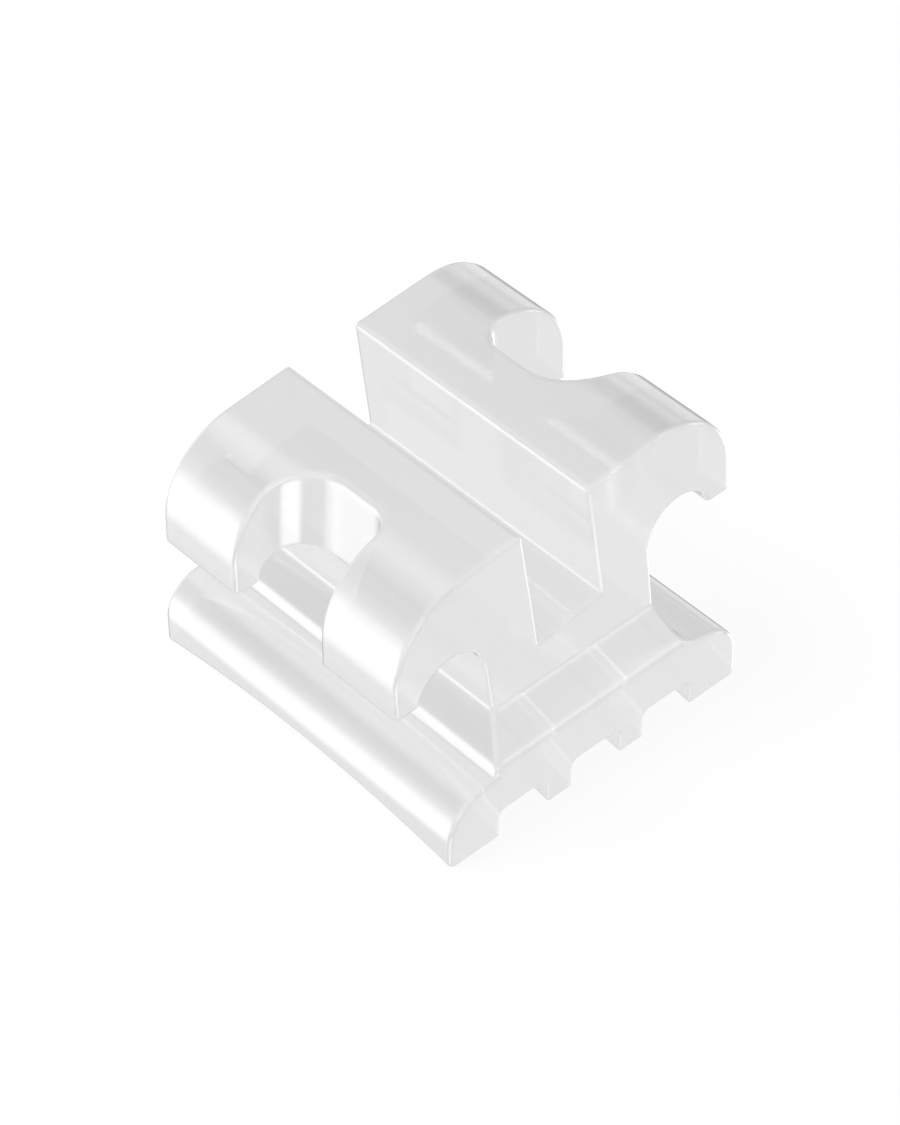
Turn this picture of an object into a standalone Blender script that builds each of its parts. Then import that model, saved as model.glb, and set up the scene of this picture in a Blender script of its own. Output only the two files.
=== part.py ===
"""Twin orthodontic bracket: a bonding pad, an archwire slot and four tie-wings, moulded as one ceramic piece.

The frame has X along the archwire slot, Y across it and Z up from the tooth. The origin is under the
middle of the pad, at the height of the pad's lowest ends.
"""

import math

import bmesh
import bpy
from mathutils import Matrix, Vector

# The sizes below are in millimetres and degrees
MM = 0.001

# Bonding pad
PAD_LENGTH = 2.83
PAD_WIDTH = 2.585
LIP_HEIGHT = 0.471
LIP_RADIUS = 0.30
FRONT_LIP_RISE = 0.068
REAR_LIP_RISE = 0.12
ARCH_RISE = 0.118
GROOVE_COUNT = 3
GROOVE_WIDTH = 0.434
GROOVE_DEPTH = 0.221
GROOVE_CORNER = 0.06
RIB_WIDTH = 0.214

# Body between the pad and the tie-wings
BODY_LENGTH = 2.196
BODY_DRAFT = 1.43
SKIRT_STEP = 0.08
SKIRT_HEIGHT = 0.18
FRONT_FOOT = 0.88
FRONT_FLARE = 0.225
REAR_FOOT = 0.795
REAR_FOOT_CORNER = 0.17

# Archwire slot
SLOT_WIDTH = 0.559
SLOT_TILT = 7.45
SLOT_OFFSET = 0.028
FLOOR_HEIGHT = 0.684

# Front pair of tie-wings, on the -Y side
FRONT_LAND = 0.981
FRONT_SLOPE = 5.9
FRONT_REACH = 1.462
FRONT_RADIUS = 0.62
FRONT_TIP_DROP = 0.216
FRONT_GULLET_RADIUS = 0.282
FRONT_GULLET_REACH = 0.994
FRONT_GULLET_DROP = 0.936

# Rear pair of tie-wings, on the +Y side
REAR_LAND = 1.001
REAR_CROWN = 0.055
REAR_REACH = 1.456
REAR_RADIUS = 0.60
REAR_TIP_DROP = 0.241
REAR_GULLET_RADIUS = 0.273
REAR_GULLET_REACH = 1.003
REAR_GULLET_DROP = 0.849

# Notch between the two wings of a pair
NOTCH_WIDTH = 0.82
NOTCH_WIDE_CORNER = 0.38
NOTCH_TIGHT_CORNER = 0.15
NOTCH_DRAFT = 3.8
FRONT_NOTCH = 0.848
REAR_NOTCH = 0.686

# Rounding of the edges, and how finely round forms are divided
WING_EDGE_RADIUS = 0.035
SLOT_EDGE_RADIUS = 0.028
FINE_RADIUS = 0.015
EDGE_STEPS = 2
SHARP_ANGLE = 28.0
SMOOTH_ANGLE = 40.0
ARC_STEP = 5.0
CORNER_STEP = 20.0
ARCH_STEP = 1.5

# Levels and lengths worked out from the sizes above
FRONT_CREASE_Z = LIP_HEIGHT + FRONT_LIP_RISE
REAR_CREASE_Z = LIP_HEIGHT + REAR_LIP_RISE
SKIRT_FOOT_Z = FRONT_CREASE_Z + SKIRT_STEP
SKIRT_TOP_Z = SKIRT_FOOT_Z + SKIRT_HEIGHT
FLOOR_Z = LIP_HEIGHT + FLOOR_HEIGHT
FRONT_TOP_Z = FLOOR_Z + FRONT_LAND
REAR_TOP_Z = FLOOR_Z + REAR_LAND
GROOVES_REACH = (GROOVE_COUNT * GROOVE_WIDTH + (GROOVE_COUNT - 1) * RIB_WIDTH) / 2
TOP_Z = max(FRONT_TOP_Z, REAR_TOP_Z + REAR_CROWN)
FRONT_GULLET = (-FRONT_GULLET_REACH, FRONT_TOP_Z - FRONT_GULLET_DROP)
REAR_GULLET = (REAR_GULLET_REACH, REAR_TOP_Z - REAR_GULLET_DROP)
ARCH_RADIUS = ((PAD_LENGTH / 2) ** 2 + ARCH_RISE ** 2) / (2 * ARCH_RISE)
CUT_MARGIN = 0.5
WELD = 0.001 * MM
FLAT_ANGLE = math.radians(0.3)
FACING_DOWN = 0.3
FACING_END = 0.99
SHORT_EDGE = 0.008


def polar(center, radius, degrees):
    """Gives the point of a circle at an angle."""
    turn = math.radians(degrees)
    return (center[0] + radius * math.cos(turn), center[1] + radius * math.sin(turn))


def arc(center, radius, start, end, step=ARC_STEP):
    """Gives the points of an arc from one angle to another, either way round."""
    count = max(2, math.ceil(abs(end - start) / step))
    return [polar(center, radius, start + (end - start) * i / count) for i in range(count + 1)]


def tangent(point, center, radius, side):
    """Gives the angle at which a line from a point touches a circle, on its left (1) or right (-1)."""
    away = math.atan2(point[1] - center[1], point[0] - center[0])
    opening = math.acos(radius / math.dist(point, center))
    return math.degrees(away - side * opening)


def fillet(before, corner, after, radius, step=ARC_STEP):
    """Gives a round corner between two straight edges, no larger than the edges allow."""
    corner = Vector(corner)
    first = Vector(before) - corner
    second = Vector(after) - corner
    half = first.angle(second) / 2
    setback = min(radius / math.tan(half), 0.9 * first.length, 0.9 * second.length)
    radius = setback * math.tan(half)
    first.normalize()
    second.normalize()
    center = corner + (first + second).normalized() * (radius / math.sin(half))
    start = corner + first * setback - center
    end = corner + second * setback - center
    begin = math.degrees(math.atan2(start.y, start.x))
    sweep = math.degrees(math.atan2(start.x * end.y - start.y * end.x, start.dot(end)))
    return arc(center, radius, begin, begin + sweep, step)


def slot_outline():
    """Gives the archwire slot's four corners in Y and Z, from the rear wall's top to the front wall's."""
    tilt = math.radians(SLOT_TILT)
    middle = Vector((SLOT_OFFSET, FLOOR_Z))
    across = Vector((math.cos(tilt), math.sin(tilt)))
    up = Vector((-math.sin(tilt), math.cos(tilt)))
    rear = middle + across * SLOT_WIDTH / 2
    front = middle - across * SLOT_WIDTH / 2
    rear_top = rear + up * ((REAR_TOP_Z - rear.y) / up.y)
    front_top = front + up * ((FRONT_TOP_Z - front.y) / up.y)
    return [tuple(rear_top), tuple(rear), tuple(front), tuple(front_top)]


def rear_outline():
    """Gives the rear side in Y and Z: the pad's lip, the neck, the gullet and the wing's crown."""
    pad_corner = (PAD_WIDTH / 2, -CUT_MARGIN)
    lip_corner = (PAD_WIDTH / 2, LIP_HEIGHT)
    foot = (REAR_FOOT, REAR_CREASE_Z)
    crown = (REAR_REACH - REAR_RADIUS, REAR_TOP_Z + REAR_CROWN - REAR_RADIUS)
    tip_z = crown[1] - REAR_TIP_DROP
    neck_turn = tangent(foot, REAR_GULLET, REAR_GULLET_RADIUS, 1) % 360
    tip_turn = math.degrees(math.asin((tip_z - REAR_GULLET[1]) / REAR_GULLET_RADIUS))
    land_turn = tangent(slot_outline()[0], crown, REAR_RADIUS, 1)
    neck = polar(REAR_GULLET, REAR_GULLET_RADIUS, neck_turn)
    return [
        pad_corner,
        *fillet(pad_corner, lip_corner, foot, LIP_RADIUS),
        *fillet(lip_corner, foot, neck, REAR_FOOT_CORNER, CORNER_STEP),
        *arc(REAR_GULLET, REAR_GULLET_RADIUS, neck_turn, tip_turn),
        (REAR_REACH, tip_z),
        *arc(crown, REAR_RADIUS, 0, land_turn),
    ]


def front_outline():
    """Gives the front side in Y and Z: the wing's face, the gullet, the neck, the skirt and the pad's lip."""
    pad_corner = (-PAD_WIDTH / 2, -CUT_MARGIN)
    lip_corner = (-PAD_WIDTH / 2, LIP_HEIGHT)
    crease = (-FRONT_FOOT, FRONT_CREASE_Z)
    skirt_foot = (-FRONT_FOOT, SKIRT_FOOT_Z)
    skirt_top = (FRONT_FLARE - FRONT_FOOT, SKIRT_TOP_Z)
    slope = math.radians(FRONT_SLOPE)
    slot_edge = slot_outline()[-1]
    face_y = FRONT_RADIUS - FRONT_REACH
    land_z = slot_edge[1] - (slot_edge[0] - face_y) * math.tan(slope)
    face = (face_y, land_z - FRONT_RADIUS / math.cos(slope))
    tip_z = face[1] - FRONT_TIP_DROP
    tip_turn = 180 - math.degrees(math.asin((tip_z - FRONT_GULLET[1]) / FRONT_GULLET_RADIUS))
    neck_turn = tangent(skirt_top, FRONT_GULLET, FRONT_GULLET_RADIUS, -1)
    return [
        *arc(face, FRONT_RADIUS, 90 + FRONT_SLOPE, 180),
        (-FRONT_REACH, tip_z),
        *arc(FRONT_GULLET, FRONT_GULLET_RADIUS, tip_turn, neck_turn),
        skirt_top,
        skirt_foot,
        crease,
        *fillet(crease, lip_corner, pad_corner, LIP_RADIUS),
        pad_corner,
    ]


def arch_outline(radius):
    """Gives, in X and Z, the round space under the pad, for a radius about the tooth's centre."""
    center = (0, ARCH_RISE - ARCH_RADIUS)
    floor = -2 * CUT_MARGIN
    turn = math.degrees(math.asin((PAD_LENGTH / 2 + CUT_MARGIN) / radius))
    half_width = radius * math.sin(math.radians(turn))
    arch = arc(center, radius, 90 - turn, 90 + turn, ARCH_STEP)
    return [*arch, (-half_width, floor), (half_width, floor)]


def end_outline():
    """Gives, in X and Z, the space past the body's +X end, above the skirt that slopes out to the pad."""
    lean = math.tan(math.radians(BODY_DRAFT))
    ceiling = TOP_Z + CUT_MARGIN
    top = (BODY_LENGTH / 2 + (FRONT_TOP_Z - ceiling) * lean, ceiling)
    corner = (BODY_LENGTH / 2 + (FRONT_TOP_Z - SKIRT_TOP_Z) * lean, SKIRT_TOP_Z)
    slope = SKIRT_HEIGHT / (PAD_LENGTH / 2 - corner[0])
    outside = PAD_LENGTH / 2 + CUT_MARGIN
    end = (outside, SKIRT_FOOT_Z - CUT_MARGIN * slope)
    return [top, corner, end, (outside, ceiling)]


def notch_outline():
    """Gives, in X and Y, a notch that opens towards -Y and has the middle of its end at the origin."""
    half = NOTCH_WIDTH / 2
    mouth = -FRONT_REACH
    wide_end = (-half, 0)
    tight_end = (half, 0)
    return [
        (half, mouth),
        *fillet((half, mouth), tight_end, wide_end, NOTCH_TIGHT_CORNER, CORNER_STEP),
        *fillet(tight_end, wide_end, (-half, mouth), NOTCH_WIDE_CORNER),
        (-half, mouth),
    ]


def prism(name, outline, depth, place, collection):
    """Makes a closed solid from a flat outline in millimetres, with equal depth on both sides of it."""
    flat = bpy.data.curves.new(name, "CURVE")
    flat.dimensions = "2D"
    flat.fill_mode = "BOTH"
    flat.extrude = depth / 2 * MM
    flat.render_resolution_u = 0
    line = flat.splines.new("POLY")
    line.points.add(len(outline) - 1)
    for point, (across, up) in zip(line.points, outline):
        point.co = (across * MM, up * MM, 0, 1)
    line.use_cyclic_u = True
    drawn = bpy.data.objects.new(name + "_outline", flat)
    bpy.context.scene.collection.objects.link(drawn)
    bpy.context.view_layer.update()
    mesh = bpy.data.meshes.new_from_object(drawn.evaluated_get(bpy.context.evaluated_depsgraph_get()))
    bpy.data.objects.remove(drawn)
    body = bmesh.new()
    body.from_mesh(mesh)
    bmesh.ops.remove_doubles(body, verts=body.verts, dist=WELD)
    bmesh.ops.dissolve_limit(body, angle_limit=FLAT_ANGLE, verts=body.verts, edges=body.edges)
    bmesh.ops.transform(body, matrix=place, verts=body.verts)
    bmesh.ops.recalc_face_normals(body, faces=body.faces)
    body.to_mesh(mesh)
    body.free()
    solid = bpy.data.objects.new(name, mesh)
    collection.objects.link(solid)
    return solid


def facing(axis, origin=(0, 0, 0)):
    """Gives the placing of an outline that is drawn in the plane across an axis."""
    planes = {
        "X": ((0, 1, 0), (0, 0, 1), (1, 0, 0)),
        "Y": ((1, 0, 0), (0, 0, 1), (0, -1, 0)),
        "Z": ((1, 0, 0), (0, 1, 0), (0, 0, 1)),
    }
    turned = Matrix(planes[axis]).transposed().to_4x4()
    return Matrix.Translation(Vector(origin) * MM) @ turned


def cutter(name, outline, depth, place):
    """Makes a solid that is only taken away from the part."""
    solid = prism(name, outline, depth, place, CUTTERS)
    solid.hide_render = True
    solid.display_type = "WIRE"
    return solid


def round_edges(solid, radius, steps):
    """Rounds every sharp edge of a cutter."""
    bevel = solid.modifiers.new("rounded", "BEVEL")
    bevel.width = radius * MM
    bevel.segments = steps
    bevel.limit_method = "ANGLE"
    bevel.angle_limit = math.radians(SHARP_ANGLE)


def make_cutters():
    """Makes the solids for the pad's arch and grooves, the body's ends and the wing notches."""
    cutters = [cutter("arch", arch_outline(ARCH_RADIUS), 2 * PAD_WIDTH, facing("Y"))]
    pitch = GROOVE_WIDTH + RIB_WIDTH
    for index in range(GROOVE_COUNT):
        middle = (index - (GROOVE_COUNT - 1) / 2) * pitch
        outline = arch_outline(ARCH_RADIUS + GROOVE_DEPTH)
        groove = cutter(f"groove_{index + 1}", outline, GROOVE_WIDTH, facing("Y", (0, middle, 0)))
        round_edges(groove, GROOVE_CORNER, EDGE_STEPS + 1)
        cutters.append(groove)
    half_turn = Matrix.Rotation(math.pi, 4, "Z")
    cutters.append(cutter("end_right", end_outline(), 4 * REAR_REACH, facing("Y")))
    cutters.append(cutter("end_left", end_outline(), 4 * REAR_REACH, half_turn @ facing("Y")))
    lean = Matrix.Rotation(math.radians(-NOTCH_DRAFT), 4, "X")
    for name, turn, end, top, drop in (
        ("notch_front", Matrix.Identity(4), FRONT_NOTCH, FRONT_TOP_Z, FRONT_GULLET_DROP),
        ("notch_rear", half_turn, REAR_NOTCH, REAR_TOP_Z, REAR_GULLET_DROP),
    ):
        middle = (CUT_MARGIN - drop) / 2
        place = facing("Z", (0, -end, top)) @ lean @ facing("Z", (0, 0, middle))
        cutters.append(cutter(name, notch_outline(), drop + CUT_MARGIN, turn @ place))
    return cutters


def in_slot(point):
    """Tells whether a point lies on the slot's floor or walls."""
    tilt = math.radians(SLOT_TILT)
    away = (point.y / MM - SLOT_OFFSET, point.z / MM - FLOOR_Z)
    across = away[0] * math.cos(tilt) + away[1] * math.sin(tilt)
    up = away[1] * math.cos(tilt) - away[0] * math.sin(tilt)
    return abs(across) < SLOT_WIDTH / 2 + FINE_RADIUS / 2 and up > -FINE_RADIUS / 2


def looks_down(face):
    """Tells whether a face is part of the pad's underside, a wing's tip or a gullet."""
    middle = face.calc_center_median() / MM
    in_front = math.dist(middle.yz, FRONT_GULLET) < FRONT_GULLET_RADIUS + FINE_RADIUS
    in_rear = math.dist(middle.yz, REAR_GULLET) < REAR_GULLET_RADIUS + FINE_RADIUS
    across = abs(face.normal.x) < FACING_END
    return across and (in_front or in_rear or face.normal.z < -FACING_DOWN)


def edge_radius(edge, turn):
    """Gives the rounding of a sharp edge: least in inside corners and along faces that look down."""
    middle = (edge.verts[0].co + edge.verts[1].co) / 2 / MM
    in_groove = middle.z < ARCH_RISE + GROOVE_DEPTH and abs(middle.y) < GROOVES_REACH + FINE_RADIUS
    on_foot = middle.z < FINE_RADIUS and abs(middle.y) < PAD_WIDTH / 2 - FINE_RADIUS
    if turn < 0:
        return FINE_RADIUS
    if any(in_slot(face.calc_center_median()) for face in edge.link_faces):
        return SLOT_EDGE_RADIUS
    if in_groove or on_foot or middle.z > LIP_HEIGHT and any(looks_down(face) for face in edge.link_faces):
        return FINE_RADIUS
    return WING_EDGE_RADIUS


def weigh_edges(mesh):
    """Gives each sharp edge its share of the widest rounding."""
    body = bmesh.new()
    body.from_mesh(mesh)
    bmesh.ops.remove_doubles(body, verts=body.verts, dist=SHORT_EDGE * MM)
    weight = body.edges.layers.float.new("bevel_weight_edge")
    for edge in body.edges:
        turn = edge.calc_face_angle_signed(0)
        if abs(turn) > math.radians(SHARP_ANGLE):
            edge[weight] = edge_radius(edge, turn) / WING_EDGE_RADIUS
    body.to_mesh(mesh)
    body.free()


def ceramic():
    """Makes the clear ceramic of the bracket."""
    material = bpy.data.materials.new("clear_ceramic")
    material.use_nodes = True
    shader = material.node_tree.nodes["Principled BSDF"]
    shader.inputs["Base Color"].default_value = (0.86, 0.86, 0.86, 1)
    shader.inputs["Roughness"].default_value = 0.12
    shader.inputs["Metallic"].default_value = 0
    shader.inputs["IOR"].default_value = 1.6
    shader.inputs["Transmission Weight"].default_value = 0.5
    return material


def make_bracket():
    """Makes the bracket: one stock of the full section, cut to its ends, arch, grooves and notches."""
    section = [*rear_outline(), *slot_outline(), *front_outline()]
    stock = prism("stock", section, PAD_LENGTH, facing("X"), BRACKET)
    for solid in make_cutters():
        cut = stock.modifiers.new(solid.name, "BOOLEAN")
        cut.operation = "DIFFERENCE"
        cut.solver = "EXACT"
        cut.object = solid
    bpy.context.view_layer.update()
    mesh = bpy.data.meshes.new_from_object(stock.evaluated_get(bpy.context.evaluated_depsgraph_get()))
    bpy.data.objects.remove(stock)
    mesh.name = "bracket"
    weigh_edges(mesh)
    bracket = bpy.data.objects.new("bracket", mesh)
    BRACKET.objects.link(bracket)
    bracket.data.materials.clear()
    bracket.data.materials.append(ceramic())
    bevel = bracket.modifiers.new("rounded_edges", "BEVEL")
    bevel.width = WING_EDGE_RADIUS * MM
    bevel.segments = EDGE_STEPS
    bevel.limit_method = "WEIGHT"
    bevel.use_clamp_overlap = False
    bevel.loop_slide = False
    mesh.shade_smooth()
    mesh.set_sharp_from_angle(angle=math.radians(SMOOTH_ANGLE))
    return bracket


for old in list(bpy.data.objects):
    bpy.data.objects.remove(old)

BRACKET = bpy.data.collections.new("orthodontic_bracket")
CUTTERS = bpy.data.collections.new("cutters")
for group in (BRACKET, CUTTERS):
    bpy.context.scene.collection.children.link(group)

make_bracket()
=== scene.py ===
import math

import bmesh
import bpy
from mathutils import Matrix, Vector


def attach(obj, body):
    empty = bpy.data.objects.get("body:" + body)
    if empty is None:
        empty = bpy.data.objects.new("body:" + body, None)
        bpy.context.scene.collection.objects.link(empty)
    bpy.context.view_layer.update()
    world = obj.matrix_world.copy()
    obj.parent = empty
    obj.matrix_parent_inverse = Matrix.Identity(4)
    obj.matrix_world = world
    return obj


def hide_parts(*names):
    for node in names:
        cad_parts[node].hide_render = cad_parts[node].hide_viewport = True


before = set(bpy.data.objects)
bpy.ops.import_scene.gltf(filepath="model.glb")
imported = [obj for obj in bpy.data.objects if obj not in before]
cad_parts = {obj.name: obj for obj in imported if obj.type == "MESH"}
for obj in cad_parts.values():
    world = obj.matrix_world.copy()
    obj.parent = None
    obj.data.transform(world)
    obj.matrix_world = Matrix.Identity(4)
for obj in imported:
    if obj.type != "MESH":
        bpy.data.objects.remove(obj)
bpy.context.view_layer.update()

# Lengths are written in millimetres and turned into metres with MM, and angles in degrees.
MM = 0.001

# Finer mesh of the bracket
WELD = 0.0002          # corners nearer than this become one
FLAT_TURN = 0.2        # faces that turn less than this are one flat face
SHARP_TURN = 50        # edges that turn more than this stay sharp in the shading
FLAT_PULL = 2          # power of a face's area, by which large flat faces hold their borders flat

# Clear ceramic: a milky, partly see-through body under a hard polished coat
BODY_COLOR = (0.578, 0.578, 0.578, 1)
BODY_IOR = 1.6
BODY_CLEARNESS = 0.25
BODY_ROUGHNESS = (0.01, 0.05)
GRAIN_SCALE = 9000     # noise for the roughness, per metre
COAT_IOR = 2.5
COAT_ROUGHNESS = 0.03
WAVE_SCALE = 1600      # noise for the slow waves of the polish, per metre
WAVE_HEIGHT = 0.0008
EDGE_SOFTNESS = 0.05   # radius over which the coat's highlight turns across edges
EDGE_SAMPLES = 8
NOISE_DETAIL = 3
NOISE_SPAN = (0.3, 0.7)  # the part of its range that the noise mostly fills

# Soft studio around the object
STUDIO_LEVEL = 1.08
# Its lighter (+) and darker (-) places: azimuth from +Y towards +X, height above the horizon,
# outer and inner radius, and the change in strength.
STUDIO_SPOTS = (
    (-146, -15, 36, 0, 0.95),   # broad bright screen at the front left
    (-130, 42, 27, 5, -0.27),   # dark gap above it, seen in the wings' shoulders
    (-88, -44, 20, 6, -0.3),    # dark gap at the left, a band in the notch's wall
    (122, -44, 19, 6, 1.0),     # narrow bright strip at the front right, which lines upright edges
    (122, 14, 24, 8, 0.4),      # lighter place above it, which lines the ends of the crowns
    (165, -32, 24, 8, -0.25),   # dark gap between the screen and the strip
    (-29, 11, 63, 17, -0.4),    # dark back wall
    (-42, 38, 14, 4, -0.22),    # its darker upper end, a strip along the rear wings' tops
    (-35, 15, 10, 3, 0.16),     # lighter place in it, the next strip there
    (-32, -8, 16, 4, 0.25),     # lighter place below that, seen in the rear lip
    (-46, -46, 32, 4, -0.55),   # darkest place low behind, seen along the outline
    (52, 32, 18, 6, 0.5),       # three lighter places behind at the right, which line the upper
    (20, 2, 16, 5, 0.7),        # and rear edges of the end faces
    (-3, -36, 19, 6, 0.9),
    (48, -44, 34, 8, 0.1),      # lighter place low behind at the right, seen in the end faces
    (-94, 77, 32, 24, 0.16),    # light overhead at the left
    (168, 5, 74, 0, 0.2),       # lighter room in front
)

# Weak, wide key light, which lays a faint shadow on the floor
KEY_FROM = (-0.4, -0.5, 1)
KEY_ENERGY = 0.25
KEY_WIDTH = 40

# Plain pale floor
FLOOR_RADIUS = 500
FLOOR_SEGMENTS = 64
FLOOR_COLOR = (0.8, 0.8, 0.8, 1)
FLOOR_GLOW = 0.08      # lifts the floor to white for the eye alone

# Camera at the photo's viewing angle
CAMERA_PLACE = (13.42404609, -12.17078622, 18.46695066)
CAMERA_AHEAD = (-0.53130, 0.48222, -0.69655)
CAMERA_ROLL = -0.52
CAMERA_LENS = 153.54
CAMERA_SENSOR = 36
CAMERA_NEAR = 1
CAMERA_FAR = 10000


def finer_bracket(node):
    """Makes the shown bracket from the CAD solid: welded, flat faces joined, roundings smooth."""
    mesh = node.data.copy()
    mesh.name = "bracket_glass"
    body = bmesh.new()
    body.from_mesh(mesh)
    bmesh.ops.remove_doubles(body, verts=body.verts, dist=WELD * MM)
    turn = math.radians(FLAT_TURN)
    bmesh.ops.dissolve_limit(body, angle_limit=turn, verts=body.verts, edges=body.edges)
    bmesh.ops.recalc_face_normals(body, faces=body.faces)
    body.to_mesh(mesh)
    body.free()
    if "custom_normal" in mesh.attributes:
        mesh.attributes.remove(mesh.attributes["custom_normal"])
    mesh.materials.clear()
    mesh.shade_smooth()
    mesh.normals_split_custom_set(even_normals(mesh))
    piece = bpy.data.objects.new("bracket_glass", mesh)
    bpy.context.scene.collection.objects.link(piece)
    return piece


def even_normals(mesh):
    """Gives a normal for each face corner: flat faces stay flat, roundings between them blend."""
    body = bmesh.new()
    body.from_mesh(mesh)
    normals = [None] * len(mesh.loops)
    for vertex in body.verts:
        for corner in vertex.link_loops:
            total = Vector()
            for face in joined_faces(vertex, corner.face):
                turn = next(loop.calc_angle() for loop in face.loops if loop.vert == vertex)
                total += face.normal * turn * (face.calc_area() / MM ** 2) ** FLAT_PULL
            normals[corner.index] = total.normalized()
    body.free()
    return normals


def joined_faces(vertex, start):
    """Gives the faces around a vertex that one of them reaches without crossing a sharp edge."""
    joined, waiting = [start], [start]
    while waiting:
        face = waiting.pop()
        for edge in vertex.link_edges:
            if face in edge.link_faces and edge.calc_face_angle(0) < math.radians(SHARP_TURN):
                for other in edge.link_faces:
                    if other not in joined:
                        joined.append(other)
                        waiting.append(other)
    return joined


def clear_ceramic():
    """Makes the bracket's material."""
    material = bpy.data.materials.new("clear_ceramic_look")
    material.use_nodes = True
    nodes, links = material.node_tree.nodes, material.node_tree.links
    shader = nodes["Principled BSDF"]
    shader.inputs["Base Color"].default_value = BODY_COLOR
    shader.inputs["IOR"].default_value = BODY_IOR
    shader.inputs["Transmission Weight"].default_value = BODY_CLEARNESS
    shader.inputs["Coat Weight"].default_value = 1.0
    shader.inputs["Coat IOR"].default_value = COAT_IOR
    shader.inputs["Coat Roughness"].default_value = COAT_ROUGHNESS

    place = nodes.new("ShaderNodeTexCoord")
    grain = noise(nodes, links, place, scale=GRAIN_SCALE)
    waves = noise(nodes, links, place, scale=WAVE_SCALE)
    spread(nodes, links, grain, BODY_ROUGHNESS, shader.inputs["Roughness"])

    edges = nodes.new("ShaderNodeBevel")
    edges.samples = EDGE_SAMPLES
    edges.inputs["Radius"].default_value = EDGE_SOFTNESS * MM
    polish = nodes.new("ShaderNodeBump")
    polish.inputs["Strength"].default_value = 1.0
    polish.inputs["Distance"].default_value = WAVE_HEIGHT * MM
    links.new(waves, polish.inputs["Height"])
    links.new(edges.outputs["Normal"], polish.inputs["Normal"])
    links.new(polish.outputs["Normal"], shader.inputs["Coat Normal"])
    return material


def noise(nodes, links, place, scale):
    """Makes a noise that is fixed to the object."""
    texture = nodes.new("ShaderNodeTexNoise")
    texture.inputs["Scale"].default_value = scale
    texture.inputs["Detail"].default_value = NOISE_DETAIL
    links.new(place.outputs["Object"], texture.inputs["Vector"])
    return texture.outputs["Fac"]


def spread(nodes, links, value, span, socket):
    """Leads a noise to a socket, spread over a span."""
    node = nodes.new("ShaderNodeMapRange")
    node.inputs["From Min"].default_value, node.inputs["From Max"].default_value = NOISE_SPAN
    node.inputs["To Min"].default_value, node.inputs["To Max"].default_value = span
    links.new(value, node.inputs["Value"])
    links.new(node.outputs["Result"], socket)


def math_node(nodes, links, operation, first, second):
    """Makes a Math node; each of the two values is a socket or a number."""
    node = nodes.new("ShaderNodeMath")
    node.operation = operation
    for socket, value in zip(node.inputs, (first, second)):
        if isinstance(value, bpy.types.NodeSocket):
            links.new(value, socket)
        else:
            socket.default_value = value
    return node.outputs[0]


def seen_by_eye(nodes, links, mirrored=True):
    """Gives 1 for rays from the camera, straight or through glass and, if asked, mirrored."""
    path = nodes.new("ShaderNodeLightPath")
    straight, through = path.outputs["Is Camera Ray"], path.outputs["Is Transmission Ray"]
    seen = math_node(nodes, links, "MAXIMUM", straight, through)
    if mirrored:
        seen = math_node(nodes, links, "MAXIMUM", seen, path.outputs["Is Glossy Ray"])
    return seen


def make_floor():
    """Makes the plain pale floor, white to the eye, also through the ceramic."""
    mesh = bpy.data.meshes.new("floor")
    body = bmesh.new()
    bmesh.ops.create_circle(body, cap_ends=True, segments=FLOOR_SEGMENTS, radius=FLOOR_RADIUS * MM)
    body.to_mesh(mesh)
    body.free()
    floor = bpy.data.objects.new("floor", mesh)
    bpy.context.scene.collection.objects.link(floor)
    material = bpy.data.materials.new("floor_white")
    material.use_nodes = True
    nodes, links = material.node_tree.nodes, material.node_tree.links
    nodes.clear()
    out = nodes.new("ShaderNodeOutputMaterial")
    diffuse = nodes.new("ShaderNodeBsdfDiffuse")
    diffuse.inputs["Color"].default_value = FLOOR_COLOR
    glow = nodes.new("ShaderNodeEmission")
    both = nodes.new("ShaderNodeAddShader")
    strength = math_node(nodes, links, "MULTIPLY", seen_by_eye(nodes, links), FLOOR_GLOW)
    links.new(strength, glow.inputs["Strength"])
    links.new(diffuse.outputs["BSDF"], both.inputs[0])
    links.new(glow.outputs["Emission"], both.inputs[1])
    links.new(both.outputs["Shader"], out.inputs["Surface"])
    mesh.materials.append(material)
    floor.visible_glossy = False  # the bracket mirrors the studio, which goes on below the floor


def make_world():
    """Makes the soft studio, which is plain white when seen straight or through the ceramic."""
    world = bpy.data.worlds.new("studio")
    bpy.context.scene.world = world
    world.use_nodes = True
    world.cycles.sampling_method = "NONE"  # light by bounced rays alone, which the bracket lets by
    nodes, links = world.node_tree.nodes, world.node_tree.links
    place = nodes.new("ShaderNodeTexCoord")
    level = STUDIO_LEVEL
    for spot in STUDIO_SPOTS:
        level = math_node(nodes, links, "ADD", studio_spot(nodes, links, place, *spot), level)
    plain = nodes.new("ShaderNodeMix")
    plain.inputs["B"].default_value = 1.0
    links.new(seen_by_eye(nodes, links, mirrored=False), plain.inputs["Factor"])
    links.new(level, plain.inputs["A"])
    back = nodes["Background"]
    back.inputs["Color"].default_value = (1, 1, 1, 1)
    links.new(plain.outputs["Result"], back.inputs["Strength"])


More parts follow.
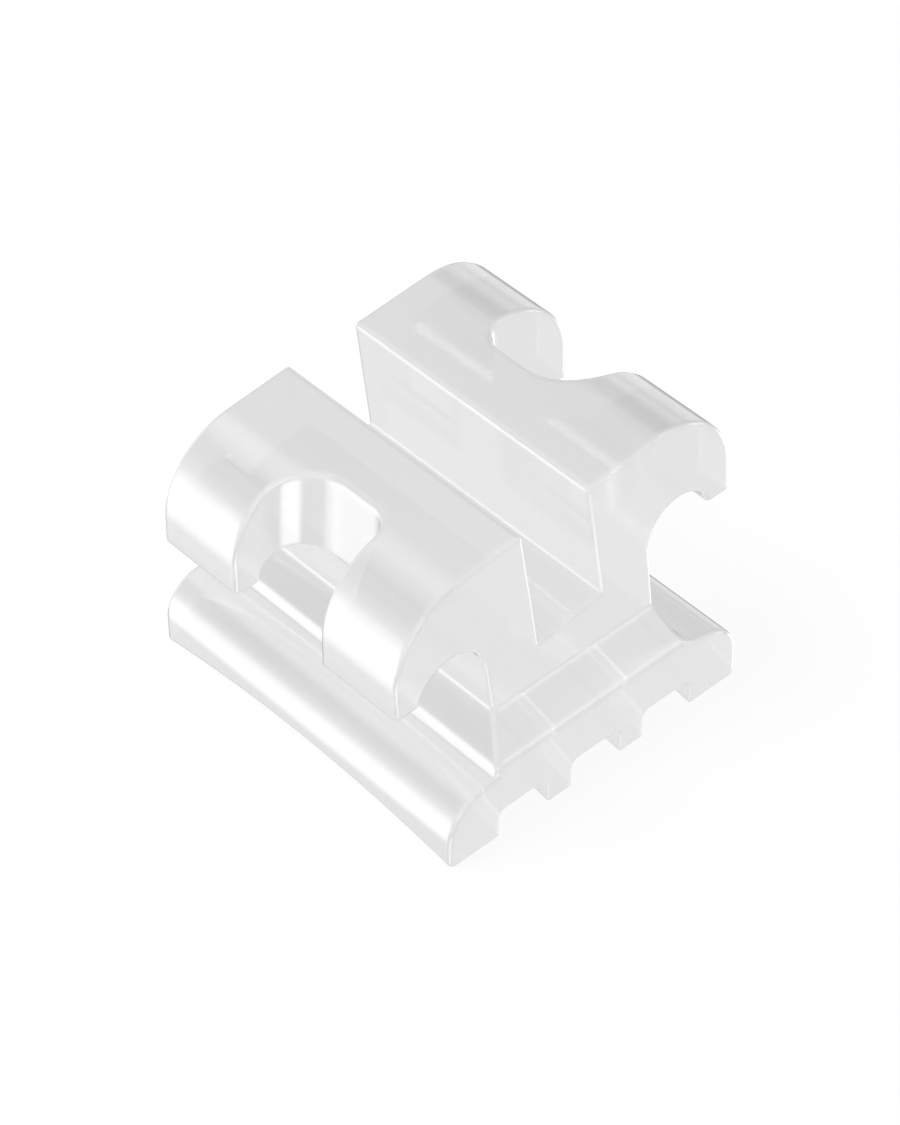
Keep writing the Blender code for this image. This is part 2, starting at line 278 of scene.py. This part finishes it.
def studio_spot(nodes, links, place, azimuth, height, outer, inner, change):
    """Gives the change in strength that one place of the studio makes in each direction."""
    turn, rise = math.radians(azimuth), math.radians(height)
    near = nodes.new("ShaderNodeVectorMath")
    near.operation = "DOT_PRODUCT"
    near.inputs[1].default_value = (
        math.sin(turn) * math.cos(rise), math.cos(turn) * math.cos(rise), math.sin(rise))
    links.new(place.outputs["Generated"], near.inputs[0])
    spot = nodes.new("ShaderNodeMapRange")
    spot.interpolation_type = "SMOOTHSTEP"
    spot.inputs["From Min"].default_value = math.cos(math.radians(outer))
    spot.inputs["From Max"].default_value = math.cos(math.radians(inner))
    spot.inputs["To Min"].default_value = 0
    spot.inputs["To Max"].default_value = change
    links.new(near.outputs["Value"], spot.inputs["Value"])
    return spot.outputs["Result"]


def make_key():
    """Makes the key light."""
    data = bpy.data.lights.new("key", "SUN")
    data.energy = KEY_ENERGY
    data.angle = math.radians(KEY_WIDTH)
    key = bpy.data.objects.new("key", data)
    key.rotation_euler = Vector(KEY_FROM).to_track_quat("Z", "Y").to_euler()
    key.visible_glossy = False
    bpy.context.scene.collection.objects.link(key)


def make_camera():
    """Makes the scene's camera."""
    data = bpy.data.cameras.new("camera")
    data.sensor_fit = "HORIZONTAL"
    data.sensor_width = CAMERA_SENSOR
    data.lens = CAMERA_LENS
    data.clip_start = CAMERA_NEAR * MM
    data.clip_end = CAMERA_FAR * MM
    camera = bpy.data.objects.new("camera", data)
    bpy.context.scene.collection.objects.link(camera)
    place = Vector(CAMERA_PLACE) * MM
    level = Vector(CAMERA_AHEAD).normalized().to_track_quat("-Z", "Y").to_matrix()
    roll = Matrix.Rotation(math.radians(CAMERA_ROLL), 3, "Z")
    camera.matrix_world = Matrix.Translation(place) @ (level @ roll).to_4x4()
    bpy.context.scene.camera = camera


piece = finer_bracket(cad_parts["bracket"])
piece.data.materials.append(clear_ceramic())
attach(piece, "root")
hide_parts("bracket")
piece.visible_glossy = False   # the photo's faces mirror the studio and hardly each other,
piece.visible_diffuse = False  # and the light that the body scatters leaves no dark corners
make_floor()
make_world()
make_key()
make_camera()
bpy.context.scene.view_settings.view_transform = "Standard"
